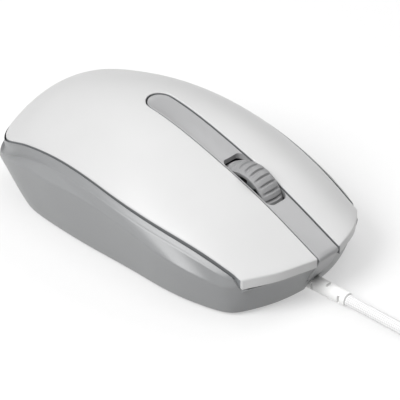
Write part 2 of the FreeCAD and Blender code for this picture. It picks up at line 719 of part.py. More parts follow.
def build_coil():
    """The wound part of the cord, as the ring that its turns fill, and its tie."""
    half, high = "(layer_turns + 1) * cord_diameter / 2", "coil_layers * cord_diameter"
    wound = turned("cord_coil", [(f"coil_mean - {half}", "0"), (f"coil_mean + {half}", "0"),
                                 (f"coil_mean + {half}", high), (f"coil_mean - {half}", high)],
                   ("coil_x", "coil_y", "coil_lift"))
    round_edges(wound, "cord_diameter / 2.4", lambda edge: True)
    keep(wound, "cord_coil")
    around, long, thick = "coil_y - coil_mean", 4, 0.5
    band = block(str(long), f"2 * {half} + {2 * thick + 0.1}", f"{high} + {2 * thick + 0.1}",
                 ("coil_x", around, "0.05"))
    hollow = block(str(long + 2), f"2 * {half} + 0.1", f"{high} + 0.1",
                   ("coil_x", around, "coil_lift - 0.05"))
    keep(cut(band, [hollow], "tie"), "coil_tie")


def build_plug():
    """The plug at the far end, its mouth towards the back."""
    x, end, _ = TAIL_ROUTE[-1]
    body = padded("plug_grip", rectangle("plug_wide", "plug_long"), "plug_tall",
                  at=(str(x), f"{end} - plug_long / 2", "0"))
    round_edges(body, "2", lambda edge: edge.Length > 2)
    keep(body, "plug_grip")
    front = f"{end} - plug_long"
    bottom, spare = "(plug_tall / 2 - shell_tall / 2)", 0.05
    shell = block("shell_wide", "shell_long", "shell_tall",
                  (str(x), f"{front} - shell_long / 2", bottom))
    mouth = block("shell_wide - 2 * shell_wall", "shell_long", "shell_tall - 2 * shell_wall",
                  (str(x), f"{front} - shell_long / 2 - 0.5", f"{bottom} + shell_wall"))
    holes = [block("2.2", "2.4", "3", (f"{x} + ({side} * 2.9)", f"{front} - 6",
                                       "plug_tall / 2 + 1"))
             for side in (1, -1)]
    keep(cut(shell, [mouth] + holes, "shell_with_holes"), "plug_shell")
    tongue_thick = 1.7
    keep(block(f"shell_wide - 2 * shell_wall - {2 * spare}", "shell_long - 1",
               str(tongue_thick), (str(x), f"{front} - shell_long / 2",
                                   f"{bottom} + shell_wall + {spare}"), "tongue"),
         "plug_tongue")
    contacts = [block("1.1", "shell_long - 3", "0.15",
                      (f"{x} + ({offset})", f"{front} - shell_long / 2",
                       f"{bottom} + shell_wall + {spare + tongue_thick}"), "contact")
                for offset in (-3.5, -1.0, 1.0, 3.5)]
    keep(group(contacts, "contacts"), "plug_contacts")


def build_cord():
    for route, diameter, label in ((CORD_ROUTE, "cord_diameter", "cord_run"),
                                   (TAIL_ROUTE, "cord_diameter", "cord_tail"),
                                   (LEAD_ROUTE, "lead_diameter", "inner_lead")):
        tube(route, size(diameter), label)


# ---------------------------------------------------------------- check and write

def check_and_write():
    doc.recompute()
    for thing in doc.Objects:
        bad = [word for word in ("Invalid", "Error") if word in thing.State]
        if bad:
            raise RuntimeError(f"{thing.Label}: {bad}")
    os.makedirs("parts", exist_ok=True)
    for label, thing in nodes.items():
        shape = thing.Shape
        if shape.isNull() or not shape.isValid() or not shape.Solids:
            raise RuntimeError(f"{label}: no valid solid")
        box = shape.BoundBox
        print(f"{label:16} solids {len(shape.Solids)} volume {shape.Volume:9.1f} "
              f"x {box.XMin:.1f}..{box.XMax:.1f} y {box.YMin:.1f}..{box.YMax:.1f} "
              f"z {box.ZMin:.2f}..{box.ZMax:.2f}")
    for label, thing in nodes.items():
        thing.Shape.exportStep(f"parts/{label}.step")


build_lower_case()
build_cover()
build_strip()
build_underside()
build_board()
build_electronics()
build_wheel()
build_carrier()
build_spring()
build_relief()
build_cord()
build_coil()
build_plug()
check_and_write()
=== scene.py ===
from math import cos, pi, radians, sin, sqrt, tau

import bmesh
import bpy
import numpy as np
from mathutils import Matrix, Vector
from mathutils.geometry import delaunay_2d_cdt


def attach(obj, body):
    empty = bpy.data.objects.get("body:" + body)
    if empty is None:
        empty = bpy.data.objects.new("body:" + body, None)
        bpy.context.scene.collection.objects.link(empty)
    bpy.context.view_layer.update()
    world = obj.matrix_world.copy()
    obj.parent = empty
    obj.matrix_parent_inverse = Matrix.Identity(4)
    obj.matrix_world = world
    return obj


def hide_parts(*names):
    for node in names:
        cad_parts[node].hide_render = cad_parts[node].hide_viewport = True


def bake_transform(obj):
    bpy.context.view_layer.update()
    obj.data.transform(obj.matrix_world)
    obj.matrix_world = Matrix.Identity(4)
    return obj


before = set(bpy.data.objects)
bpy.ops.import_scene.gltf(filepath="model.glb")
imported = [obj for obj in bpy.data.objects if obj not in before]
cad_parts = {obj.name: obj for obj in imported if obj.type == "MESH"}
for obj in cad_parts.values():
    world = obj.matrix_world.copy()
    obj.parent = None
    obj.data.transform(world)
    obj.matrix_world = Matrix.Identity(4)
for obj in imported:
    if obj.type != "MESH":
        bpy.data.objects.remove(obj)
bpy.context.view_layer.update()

# Wired three-button mouse. Lengths below are millimetres until a mesh is made from them.
# +Y is forward, to the end that the cord leaves, +X is the user's right, +Z is up.
MM = 0.001

# ---------------------------------------------------------------- lines of the case

# Points (x, y, z) on the right half, from the middle of the back round the side to the
# middle of the front. The first eight are the side curve, the last three the front one.
BASE = [(0, -47), (15.5, -44.8), (24.2, -37.3), (27.1, -24.5), (28, -7.5), (28.1, 11.8),
        (27.8, 30), (25.2, 42.2), (23.3, 44.3), (12.5, 48.7), (0, 50.3)]
WIDEST = [(0, -57.5, 12.8), (17.7, -53.1, 12), (27.5, -44.1, 14.9), (31.2, -30.2, 20.8),
          (32.1, -9.6, 22), (32.3, 12.8, 19.3), (30.9, 33.4, 15.5), (26.1, 44.9, 13.1),
          (23.9, 46.8, 9.7), (12.4, 53.3, 11.2), (0, 55.7, 11.6)]
SEAM = [(0, -56), (13.5, -54.8), (21.9, -48.3), (25.0, -37.6), (27.1, -21.1), (29.4, -2),
        (28.7, 22.2), (24.95, 44.4), (24.3, 47.1), (12.4, 53.9), (0, 56.3)]
CORNER = 8
KEY_FRONT = [(23.95, 46.9), (16.0, 52.7), (9.3, 55.5), (0, 57.4)]

# Height of the crown along the middle, and how fast it falls towards the sides.
RIDGE = [(-58, 15.3), (-50, 25), (-42, 30.9), (-32, 34.6), (-20, 37.2), (-8, 37.6),
         (5, 35.4), (20, 31), (35, 25.7), (48, 19.8), (58, 15)]
FALL = [(-57, 0.0251), (-42, 0.0213), (-22, 0.0186), (0, 0.0142), (22, 0.0123), (48, 0.013)]
CROWN_QUARTIC, CROWN_REACH = 0.21, 29.0

BASE_LEVEL, FLOOR_THICK, CASE_WALL = 0.8, 1.8, 2.0
COVER_GAP, COVER_THICK, COVER_DEPTH, LEDGE, LIP_DROP = 0.48, 2.1, 3.4, 1.2, 3.35
SLOT_HALF, SLOT_END, STRIP_HALF, STRIP_SINK, STRIP_THICK = 4.42, -5.9, 3.93, 0.28, 1.9
WINDOW_AHEAD, WINDOW_HALF, WINDOW_REACH = 29.62, 3.75, 9.23
WHEEL_AHEAD, WHEEL_UP, WHEEL_RADIUS, TYRE_HALF = 27.6, 19.7, 11.0, 3.6
TREADS, TYRE_BORE = 30, 8.4
CORD_LEVEL, CORD_DIAMETER, RELIEF_RADIUS, RELIEF_END = 3.3, 3.2, 2.2, 64.2


def spline(knots, values):
    """The natural cubic spline through values at knots, as a function of the knot."""
    t, v = np.asarray(knots, float), np.asarray(values, float)
    count, h = len(t), np.diff(t)
    system, right = np.zeros((count, count)), np.zeros(v.shape)
    system[0, 0] = system[-1, -1] = 1
    for i in range(1, count - 1):
        system[i, i - 1:i + 2] = h[i - 1], 2 * (h[i - 1] + h[i]), h[i]
        right[i] = 6 * ((v[i + 1] - v[i]) / h[i] - (v[i] - v[i - 1]) / h[i - 1])
    bend = np.linalg.solve(system, right)

    def at(where):
        where = np.asarray(where, float)
        i = np.clip(np.searchsorted(t, where) - 1, 0, count - 2)
        over, left, wide = where - t[i], t[i + 1] - where, h[i]
        if v.ndim > 1:
            over, left, wide = over[..., None], left[..., None], wide[..., None]
        return ((bend[i] * left ** 3 + bend[i + 1] * over ** 3) / (6 * wide)
                + (v[i] / wide - bend[i] * wide / 6) * left
                + (v[i + 1] / wide - bend[i + 1] * wide / 6) * over)
    return at


ridge_height = spline(*zip(*RIDGE))
side_fall = spline(*zip(*FALL))


def crown(x, y):
    """Height of the outside of the cover."""
    x, y = np.asarray(x, float), np.asarray(y, float)
    bend = (1 - CROWN_QUARTIC) + CROWN_QUARTIC * (x / CROWN_REACH) ** 2
    fall = side_fall(np.clip(y, FALL[0][0], FALL[-1][0]))
    return ridge_height(np.clip(y, -60, 60)) - fall * x * x * bend


def crown_slope(x, y, step=0.2):
    return ((crown(x + step, y) - crown(x - step, y)) / (2 * step),
            (crown(x, y + step) - crown(x, y - step)) / (2 * step))


def flipped(points):
    return np.array(points, float) * ([-1, 1, 1] if len(points[0]) == 3 else [-1, 1])


def chord(points):
    steps = np.linalg.norm(np.diff(np.array(points, float)[:, :2], axis=0), axis=1)
    return np.concatenate([[0], np.cumsum(steps)])


SIDE_STEPS, CORNER_STEPS, FRONT_STEPS = 150, 4, 44


def case_line(stations):
    """The right half of a case line, dense, with the same parameter for every line."""
    side = np.array(stations[:CORNER], float)
    whole = np.concatenate([flipped(side[1:])[::-1], side])
    guide = np.array(WIDEST[:CORNER])
    knots = chord(np.concatenate([flipped(guide[1:])[::-1], guide]))
    middle = knots[CORNER - 1]
    ahead = np.array(stations[CORNER:], float)
    front = np.concatenate([ahead, flipped(ahead[:-1])[::-1]])
    front_guide = np.array(WIDEST[CORNER:])
    front_knots = chord(np.concatenate([front_guide, flipped(front_guide[:-1])[::-1]]))
    curve = spline(knots, whole)(np.linspace(middle, knots[-1], SIDE_STEPS))
    nose = spline(front_knots, front)(np.linspace(0, front_knots[len(ahead) - 1], FRONT_STEPS))
    share = np.linspace(0, 1, CORNER_STEPS + 2)[1:-1, None]
    line = np.concatenate([curve, curve[-1] * (1 - share) + nose[0] * share, nose])
    line[0, 0] = line[-1, 0] = 0
    return line


def seam_line():
    plan = case_line(SEAM)
    drop = np.concatenate([np.zeros(SIDE_STEPS), np.linspace(0, 1, CORNER_STEPS + 2)[1:-1],
                           np.ones(FRONT_STEPS)]) * LIP_DROP
    return np.column_stack([plan, crown(plan[:, 0], plan[:, 1]) - drop])


def sideways(line):
    """Unit vectors that point out of the case, level, at each point of a half line."""
    whole = np.concatenate([flipped(line[1:2, :2]), line[:, :2], flipped(line[-2:-1, :2])])
    along = whole[2:] - whole[:-2]
    out = np.column_stack([along[:, 1], -along[:, 0]])
    return out / np.linalg.norm(out, axis=1)[:, None]


def inward(line, distance, level):
    moved = line.copy()
    moved[:, :2] -= sideways(line) * np.asarray(distance).reshape(-1, 1)
    moved[0, 0] = moved[-1, 0] = 0
    moved[:, 2] = level
    return moved


# ---------------------------------------------------------------- meshes

def new_mesh(name, points, faces, sharp=38):
    """A mesh object from points in millimetres, smooth but for edges over an angle."""
    mesh = bpy.data.meshes.new(name)
    mesh.from_pydata((np.asarray(points, float) * MM).tolist(), [],
                     [list(map(int, face)) for face in faces])
    tidy = bmesh.new()
    tidy.from_mesh(mesh)
    bmesh.ops.remove_doubles(tidy, verts=tidy.verts, dist=1e-7)
    bmesh.ops.recalc_face_normals(tidy, faces=tidy.faces)
    tidy.to_mesh(mesh)
    tidy.free()
    piece = bpy.data.objects.new(name, mesh)
    bpy.context.scene.collection.objects.link(piece)
    shade(piece, sharp)
    return piece


def shade(piece, sharp=38):
    piece.data.shade_smooth()
    piece.data.set_sharp_from_angle(angle=radians(sharp))


def grid_faces(rows, columns, wrap_rows=False, wrap_columns=False):
    faces = []
    for r in range(rows if wrap_rows else rows - 1):
        for c in range(columns if wrap_columns else columns - 1):
            r2, c2 = (r + 1) % rows, (c + 1) % columns
            faces.append((r * columns + c, r * columns + c2, r2 * columns + c2,
                          r2 * columns + c))
    return faces


def carve(piece, cutters, sharp=38):
    """Cuts closed pieces out of another, then removes them."""
    for cutter in cutters:
        cut = piece.modifiers.new("cut", "BOOLEAN")
        cut.object, cut.operation, cut.solver = cutter, "DIFFERENCE", "EXACT"
        bpy.context.view_layer.objects.active = piece
        bpy.ops.object.modifier_apply(modifier=cut.name)
        bpy.data.objects.remove(cutter)
    shade(piece, sharp)
    return piece


def prism(name, plan, low, high, up=(0, 0, 1), across=(1, 0, 0)):
    """A closed prism: a plan of (u, v) points, from low to high along up."""
    up, across = Vector(up), Vector(across)
    other = up.cross(across)
    ring = [[np.array(across) * u + np.array(other) * v + np.array(up) * level
             for u, v in plan] for level in (low, high)]
    count = len(plan)
    faces = [(i, (i + 1) % count, (i + 1) % count + count, i + count) for i in range(count)]
    faces += [tuple(range(count)), tuple(range(2 * count - 1, count - 1, -1))]
    return new_mesh(name, ring[0] + ring[1], faces)


def rounded_plan(half_x, half_y, radius, centre=(0, 0), steps=10):
    plan = []
    for quarter, (sx, sy) in enumerate(((1, 1), (-1, 1), (-1, -1), (1, -1))):
        for step in range(steps + 1):
            turn = pi / 2 * (quarter + step / steps)
            plan.append((centre[0] + sx * (half_x - radius) + radius * cos(turn),
                         centre[1] + sy * (half_y - radius) + radius * sin(turn)))
    return plan


def lathe(name, profile, centre, axis, turns=96, reshape=None):
    """A closed piece turned about an axis: profile is a loop of (along, radius)."""
    axis = Vector(axis)
    side = Vector((0, 0, 1))
    other = axis.cross(side)
    points = []
    for step in range(turns):
        angle = tau * step / turns
        for along, radius in profile:
            if reshape:
                radius = reshape(along, radius, angle)
            points.append(Vector(centre) + axis * along
                          + (side * cos(angle) + other * sin(angle)) * radius)
    return new_mesh(name, [tuple(p) for p in points],
                    grid_faces(turns, len(profile), True, True))


# ---------------------------------------------------------------- materials

def linear(colour):
    """An sRGB hex colour in linear light, with alpha."""
    channels = [int(colour[i:i + 2], 16) / 255 for i in (1, 3, 5)]
    return [c / 12.92 if c <= 0.04045 else ((c + 0.055) / 1.055) ** 2.4
            for c in channels] + [1.0]


def shaded(colour, share):
    return [channel * share for channel in linear(colour)[:3]] + [1.0]


def add(tree, kind, inputs=None, **settings):
    """Adds a node with its settings, and its inputs as values or links."""
    node = tree.nodes.new(kind)
    for name, value in settings.items():
        setattr(node, name, value)
    for name, value in (inputs or {}).items():
        if isinstance(value, bpy.types.NodeSocket):
            tree.links.new(value, node.inputs[name])
        else:
            node.inputs[name].default_value = value
    return node


def start(name):
    """An empty node material, its tree and the place of each point on the object."""
    made = bpy.data.materials.new(name)
    made.use_nodes = True
    made.node_tree.nodes.clear()
    tree = made.node_tree
    place = add(tree, "ShaderNodeTexCoord").outputs["Object"]
    return made, tree, place


def finish(tree, **sockets):
    """The surface shader. Sockets are named with underscores for spaces."""
    inputs = {name.replace("_", " "): value for name, value in sockets.items()}
    surface = add(tree, "ShaderNodeBsdfPrincipled", inputs)
    add(tree, "ShaderNodeOutputMaterial", {"Surface": surface.outputs[0]})


def grain(tree, place, size_mm, detail=3.0, rough=0.55):
    """Even noise whose grains are about size_mm across."""
    return add(tree, "ShaderNodeTexNoise", {
        "Vector": place, "Scale": 1 / (size_mm * MM), "Detail": detail,
        "Roughness": rough}).outputs["Fac"]


def spread(tree, value, low, high):
    return add(tree, "ShaderNodeMapRange", {
        "Value": value, "From Min": 0.3, "From Max": 0.7, "To Min": low,
        "To Max": high}).outputs["Result"]


def tinted(tree, value, colour, low, high):
    """The colour, a little darker or lighter where the value is low or high."""
    ramp = add(tree, "ShaderNodeValToRGB", {"Fac": value})
    ramp.color_ramp.elements[0].position, ramp.color_ramp.elements[1].position = 0.3, 0.7
    ramp.color_ramp.elements[0].color = shaded(colour, low)
    ramp.color_ramp.elements[1].color = shaded(colour, high)
    return ramp.outputs["Color"]


def raised(tree, height, depth_mm, strength=1.0):
    return add(tree, "ShaderNodeBump", {"Height": height, "Distance": depth_mm * MM,
                                        "Strength": strength}).outputs["Normal"]


def moulded(name, colour, rough, grain_mm=0.25, depth_mm=0.012, mottle=0.02, **sockets):
    """Injection-moulded plastic or rubber: an even colour over a fine tool texture."""
    made, tree, place = start(name)
    fine, slow = grain(tree, place, grain_mm), grain(tree, place, 14, 2.0)
    finish(tree, Base_Color=tinted(tree, slow, colour, 1 - mottle, 1 + mottle / 2),
           Roughness=spread(tree, fine, rough - 0.05, rough + 0.05),
           Normal=raised(tree, fine, depth_mm), **sockets)
    return made


def drawn_metal(name, colour, rough, line_mm, **sockets):
    """Rolled or drawn metal: fine lines along its length."""
    made, tree, place = start(name)
    stretched = add(tree, "ShaderNodeMapping", {"Vector": place, "Scale": (1, 0.06, 1)})
    lines = grain(tree, stretched.outputs[0], line_mm, 4.0)
    finish(tree, Base_Color=tinted(tree, lines, colour, 0.93, 1.03), Metallic=1.0,
           Roughness=spread(tree, lines, rough - 0.06, rough + 0.08),
           Normal=raised(tree, lines, 0.003), **sockets)
    return made


# White ABS, moulded in a spark-eroded tool: a fine even texture with a broad soft sheen.
white_abs = moulded("abs_white_spark_eroded", "#C4C4C4", 0.42, 0.30, 0.010, 0.012)
# Light grey ABS of the lower case, the same tool texture.
case_abs = moulded("abs_light_grey_spark_eroded", "#88898A", 0.34, 0.30, 0.008, 0.015)
# Mid grey ABS of the strip between the keys, a little glossier.
strip_abs = moulded("abs_mid_grey_satin", "#9C9C9D", 0.38, 0.25, 0.008, 0.015)
# Grey elastomer moulded round the wheel: matte, with a slight sheen on worn ridges.
tyre_tpe = moulded("tpe_grey_moulded", "#8D8D8E", 0.55, 0.20, 0.012, 0.04)
# Grey ABS of the hub and the carrier, from a plain tool. It also goes on the cover's wall inside the
# gaps as painted shade.
hub_abs = moulded("abs_dark_grey_moulded", "#77797B", 0.4, 0.4, 0.006)
# Soft white PVC of the strain relief and the plug's grip.
white_pvc = moulded("pvc_white_moulded", "#E4E4E3", 0.48, 0.22, 0.010, 0.02)
# PTFE glides: waxy, dark, polished along the middle by the desk.
glide_ptfe = moulded("ptfe_black_glide", "#2A2B2D", 0.36, 0.5, 0.004, 0.10)
# Polyester film of the blank label: smooth and faintly silver.
label_film = moulded("polyester_silver_label", "#CFD0D2", 0.28, 0.6, 0.002, 0.03)
# Glass-filled black PBT of the switches: dull, with pale specks of fibre.
switch_pbt = moulded("pbt_black_moulded", "#2B2C2E", 0.5, 0.18, 0.008, 0.12)
# Natural acetal of the plungers: ivory and slippery.
plunger_acetal = moulded("acetal_ivory_moulded", "#DAD5C7", 0.3, 0.3, 0.003)
# Moulded black epoxy of the chips: matte, sandy.
chip_epoxy = moulded("epoxy_black_chip", "#222326", 0.6, 0.15, 0.010, 0.10)
# Natural nylon of the cord's socket plug.
nylon_natural = moulded("nylon_natural_moulded", "#E4E0D5", 0.4, 0.3, 0.005)
# White nylon band round the coil.
nylon_white = moulded("nylon_white_band", "#EAEAE7", 0.35, 0.4, 0.006)
# White liquid-crystal polymer of the plug's tongue.
tongue_lcp = moulded("lcp_white_moulded", "#E6E6E4", 0.45, 0.2, 0.004)
# Green solder resist over glass-epoxy board: the weave shows faintly through the gloss.
board_resist = moulded("fr4_green_solder_resist", "#2C6A45", 0.25, 0.5, 0.006, 0.08,
                       Coat_Weight=0.4, Coat_Roughness=0.15)
# Clear polycarbonate of the sensor's lens.
lens_pc = moulded("polycarbonate_clear_moulded", "#EEF3F5", 0.08, 1.0, 0.001,
                  Transmission_Weight=0.9, IOR=1.585)
# Reddish clear epoxy of the lamp.
lamp_epoxy = moulded("epoxy_clear_red_lamp", "#E2B4AE", 0.1, 1.0, 0.001,
                     Transmission_Weight=0.75, IOR=1.55)
# Zinc-plated steel screws.
zinc_steel = drawn_metal("steel_zinc_plated", "#9EA0A1", 0.34, 0.12)
# Spring wire, drawn and tempered.
spring_steel = drawn_metal("steel_spring_drawn", "#A4A6A9", 0.28, 0.08)
# Nickel-plated steel shell of the plug, folded from rolled strip.
nickel_steel = drawn_metal("steel_nickel_rolled", "#C3C4C4", 0.22, 0.2)
# Gold flash over the contacts.
gold_flash = drawn_metal("gold_flashed_contact", "#D2AE5C", 0.2, 0.15)
# Drawn aluminium can of the capacitor.
can_aluminium = drawn_metal("aluminium_drawn_can", "#B9BCBE", 0.3, 0.2)


def braided(name, colour, pitch_mm=1.15, depth_mm=0.09):
    """A cord in a woven sleeve: strands cross both ways, with painted shade in the hollows between.
    """
    made, tree, place = start(name)
    waves = []
    for side in (1, -1):
        # A strand leans across the cord as far as it runs along it.
        strand = add(tree, "ShaderNodeVectorMath", {
            0: place, 1: (0.66 * side, 1.0, -0.75 * side)}, operation="DOT_PRODUCT")
        angle = add(tree, "ShaderNodeMath", {
            0: strand.outputs["Value"], 1: tau / (pitch_mm * MM)}, operation="MULTIPLY")
        waves.append(add(tree, "ShaderNodeMath", {0: angle.outputs[0]}, operation="SINE"))
    crossing = add(tree, "ShaderNodeMath", {0: waves[0].outputs[0], 1: waves[1].outputs[0]},
                   operation="MULTIPLY")
    height = add(tree, "ShaderNodeMapRange", {
        "Value": crossing.outputs[0], "From Min": -1.0, "From Max": 1.0}).outputs["Result"]
    # The colour is darkened to 0.8 in the hollows: painted shade.
    finish(tree, Base_Color=tinted(tree, height, colour, 0.80, 1.02), Roughness=0.62,
           Normal=raised(tree, height, depth_mm), Sheen_Weight=0.15, Sheen_Roughness=0.5)
    return made


# White polyester sleeve woven over the cord; its strands are drawn a little coarse.
cord_sleeve = braided("polyester_white_braided", "#E4E4E4")


def wear(piece, *finishes):
    """Puts materials in a piece's slots, in place of what it had."""
    piece.data.materials.clear()
    for one in finishes:
        piece.data.materials.append(one)
    return piece


# ---------------------------------------------------------------- lower case

def rounded_rows(corners, cuts, sags, steps=7):
    """Rows of a skin through corner lines, each corner rounded by its cut distance.

    corners are lines of the same length, cuts a distance or one per point for each,
    sags how far the skin between two corners is pushed out (or in) at its middle."""
    rows = []
    count = len(corners)
    starts, ends = [None] * count, [None] * count
    for i, here in enumerate(corners):
        cut = np.asarray(cuts[i], float) * np.ones(len(here))
        if i in (0, count - 1) or not cut.max():
            starts[i] = ends[i] = here
            continue
        back, ahead = corners[i - 1] - here, corners[i + 1] - here
        back_long = np.linalg.norm(back, axis=1)
        ahead_long = np.linalg.norm(ahead, axis=1)
        reach_back = np.minimum(cut, 0.46 * back_long) / np.maximum(back_long, 1e-9)
        reach_ahead = np.minimum(cut, 0.46 * ahead_long) / np.maximum(ahead_long, 1e-9)
        starts[i] = here + back * reach_back[:, None]
        ends[i] = here + ahead * reach_ahead[:, None]
    for i, here in enumerate(corners):
        if i in sags:
            for share in (0.08, 0.22, 0.36, 0.5, 0.64, 0.78, 0.92):
                rows.append(ends[i - 1] * (1 - share) + starts[i] * share
                            + sags[i] * (6.75 * share * (1 - share) ** 2))
        if starts[i] is ends[i]:
            rows.append(here)
            continue
        for step in range(steps + 1):
            t = step / steps
            rows.append(starts[i] * (1 - t) ** 2 + here * (2 * t * (1 - t)) + ends[i] * t * t)
    return rows


def both_halves(rows):
    """Rows of the right half, front centre and back centre included, as full rings."""
    return np.array([np.concatenate([row, flipped(row[1:-1])[::-1]]) for row in rows])


def eased(line, times=24):
    """A half line with its turn from the side to the front softened."""
    soft = np.arange(len(line)) > SIDE_STEPS - 30
    for _ in range(times):
        mean = (line[:-2] + 2 * line[1:-1] + line[2:]) / 4
        line = np.concatenate([line[:1], np.where(soft[1:-1, None], mean, line[1:-1]), line[-1:]])
    return line


def build_lower_case():
    base = eased(case_line(BASE))
    base = np.column_stack([base, np.full(len(base), BASE_LEVEL)])
    widest, seam = eased(case_line(WIDEST)), seam_line()
    on_side = np.arange(len(base)) < SIDE_STEPS
    behind = np.clip((-18 - seam[:, 1]) / 26, 0, 1)         # 0 amidships, 1 at the back
    ahead = np.clip((seam[:, 1] - 20) / 24, 0, 1)

    bottom = inward(base, 3.0, BASE_LEVEL)
    rim_foot = inward(seam, np.where(on_side, 0, 1.4),
                      np.where(on_side, seam[:, 2] - COVER_DEPTH, seam[:, 2]))
    shelf = inward(seam, np.where(on_side, LEDGE, 2.0),
                   np.where(on_side, seam[:, 2] - COVER_DEPTH, seam[:, 2] - 0.9))
    bulge = inward(widest, CASE_WALL,
                   np.minimum(widest[:, 2] - 1.0, shelf[:, 2] - 0.6))
    floor = inward(base, CASE_WALL * 1.1, BASE_LEVEL + FLOOR_THICK)

    # Amidships the shoulder is a narrow flat over a steep one; at the back it is hollow.
    level_out = np.column_stack([sideways(widest), np.zeros(len(widest))])
    side = slice(0, SIDE_STEPS)
    abreast = np.interp(seam[:, 1], widest[side, 1], widest[side, 0]) - seam[:, 0]
    flat = np.clip(0.8 * abreast, 0.3, 2.1 - 0.45 * np.clip((seam[:, 1] + 20) / 25, 0, 1)
                   - 0.45 * ahead)
    amidships = seam + np.column_stack([sideways(seam), -0.97 * np.ones(len(seam))]) \
        * flat[:, None]
    share = np.where(on_side, 0.95, 0.6)[:, None] * (1, 1, 0) \
        + np.where(on_side, 0.85, 0.5)[:, None] * (0, 0, 1)
    blend = np.where(on_side, behind, 1)[:, None]
    crease = amidships * (1 - blend) + (seam + (widest - seam) * share) * blend
    steep = np.interp(widest[:, 1], crease[side, 1], crease[side, 2])
    lowered = np.clip((-18 - widest[:, 1]) / 26, 0, 1)
    widest[:, 2] = np.where(on_side, np.minimum(widest[:, 2], steep - 2.9 + 2.6 * lowered),
                            widest[:, 2])
    crease, widest = eased(crease, 10), eased(widest, 10)
    out = np.column_stack([sideways(widest), np.full(len(widest), 0.8)])
    shoulder_sag = -out * (0.75 * behind + 0.06 * (1 - ahead) * on_side)[:, None]
    flank_sag = level_out * 0.15
    corners = [bottom, base, widest, crease, seam, rim_foot, shelf, bulge, floor]
    cuts = [0, 0.8, 0.9 + 0.6 * behind, 0.4 + 0.8 * behind, np.where(on_side, 0.28, 0.2), 0, 0, 0, 0]
    rows = rounded_rows(corners, cuts, {2: flank_sag, 4: shoulder_sag})
    rings = both_halves(rows)
    count = rings.shape[1]
    faces = grid_faces(len(rings), count, wrap_columns=True)
    faces += [tuple(range(count)), tuple(range((len(rings) - 1) * count, len(rings) * count))]
    case = new_mesh("lower_case_shell", rings.reshape(-1, 3), faces)

    hole = [(RELIEF_RADIUS * 1.03 * cos(tau * i / 40), RELIEF_RADIUS * 1.03 * sin(tau * i / 40))
            for i in range(40)]
    cutters = [
        prism("nose_gap", rounded_plan(STRIP_HALF + 0.12, 6, 0.1, (0, 54)), 6.1, 40),
        prism("cord_hole", [(u, v - CORD_LEVEL) for u, v in hole], 47.5, 62, (0, 1, 0)),
        prism("cord_notch", rounded_plan(RELIEF_RADIUS * 1.03, 5, 0.1, (0, 54)), 0,
              CORD_LEVEL),
        prism("flange_pocket", rounded_plan(4.2, 1.7, 0.2, (0, 47.6)), BASE_LEVEL + 0.5, 9),
        prism("lead_channel", rounded_plan(1.6, 4, 0.2, (0, 43)), BASE_LEVEL + 1, 6),
        prism("sensor_window", rounded_plan(4.5, 5.5, 1.2, (0, -3)), 0, 6),
        prism("screw_recess", rounded_plan(2.3, 2.3, 2.28, (0, -38)), 0, 2.3),
    ]
    carve(case, cutters)
    wear(case, case_abs)
    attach(case, "root")
    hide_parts("lower_case")


# ---------------------------------------------------------------- cover and keys

EDGE_RADIUS = 0.32
EDGE_STEPS = 6


def corner_rounded(points, index, radius, steps=6):
    """A polyline with one corner replaced by a short curve."""
    here = points[index]
    back, ahead = points[index - 1] - here, points[index + 1] - here
    first = here + back / np.linalg.norm(back) * min(radius, np.linalg.norm(back) * 0.9)
    last = here + ahead / np.linalg.norm(ahead) * min(radius, np.linalg.norm(ahead) * 0.9)
    t = np.linspace(0, 1, steps + 1)[:, None]
    curve = first * (1 - t) ** 2 + here * (2 * t * (1 - t)) + last * t * t
    return np.concatenate([points[:index], curve, points[index + 1:]])


def resampled(points, pitch):
    """Points along a polyline no further apart than a pitch, its own corners kept."""
    dense = [points[0]]
    for first, last in zip(points, points[1:]):
        pieces = max(1, int(np.ceil(np.linalg.norm(last - first) / pitch)))
        dense += [first + (last - first) * (k + 1) / pieces for k in range(pieces)]
    return np.array(dense)


def cover_outline():
    """The right half of the cover in plan, from the back round to the slot's round end."""
    seam = seam_line()
    seam = inward(seam, COVER_GAP * (1 + 0.7 * np.clip(seam[:, 1] / 35, 0, 1)), 0)
    seam = seam[:SIDE_STEPS, :2]
    front = np.array(KEY_FRONT + [(-x, y) for x, y in KEY_FRONT[-2::-1]])
    knots = chord(front)
    lip = spline(knots, front)(np.linspace(0, knots[3], 60))
    lip = lip[(lip[:, 0] > SLOT_HALF + 0.05) & (lip[:, 0] < seam[-1, 0] - 0.15)]
    corner = np.array([SLOT_HALF, np.interp(-SLOT_HALF, -lip[:, 0], lip[:, 1])])
    turn = np.linspace(0, pi / 2, 16)
    arc = np.column_stack([SLOT_HALF * np.cos(turn), SLOT_END - SLOT_HALF * np.sin(turn)])
    arc[-1, 0] = 0
    outline = np.concatenate([seam, lip, [corner], arc])
    outline = corner_rounded(outline, SIDE_STEPS + len(lip), 0.5)
    outline = corner_rounded(outline, SIDE_STEPS, 0.9)
    outline = corner_rounded(outline, SIDE_STEPS - 1, 0.9)
    return resampled(outline, 0.8)


def offset(chain, distance):
    """An open chain moved to its left, its ends kept on the middle line."""
    along = np.diff(chain, axis=0)
    along /= np.linalg.norm(along, axis=1)[:, None]
    left = np.column_stack([-along[:, 1], along[:, 0]])
    normal = np.concatenate([left[:1], left[:-1] + left[1:], left[-1:]])
    normal /= np.linalg.norm(normal, axis=1)[:, None]
    stretch = np.concatenate([[1], np.clip((normal[1:-1] * left[1:]).sum(1), 0.5, 1), [1]])
    moved = chain + normal * (distance / stretch)[:, None]
    moved[0] = (0, chain[0, 1] + distance)
    moved[-1] = (0, chain[-1, 1] - distance)
    return moved


def within(points, loop):
    """Which points lie inside a closed loop."""
    inside = np.zeros(len(points), bool)
    for (x1, y1), (x2, y2) in zip(loop, np.roll(loop, -1, axis=0)):
        crosses = (y1 > points[:, 1]) != (y2 > points[:, 1])
        with np.errstate(divide="ignore", invalid="ignore"):
            inside ^= crosses & (points[:, 0] < (x2 - x1) * (points[:, 1] - y1)
                                 / (y2 - y1) + x1)
    return inside


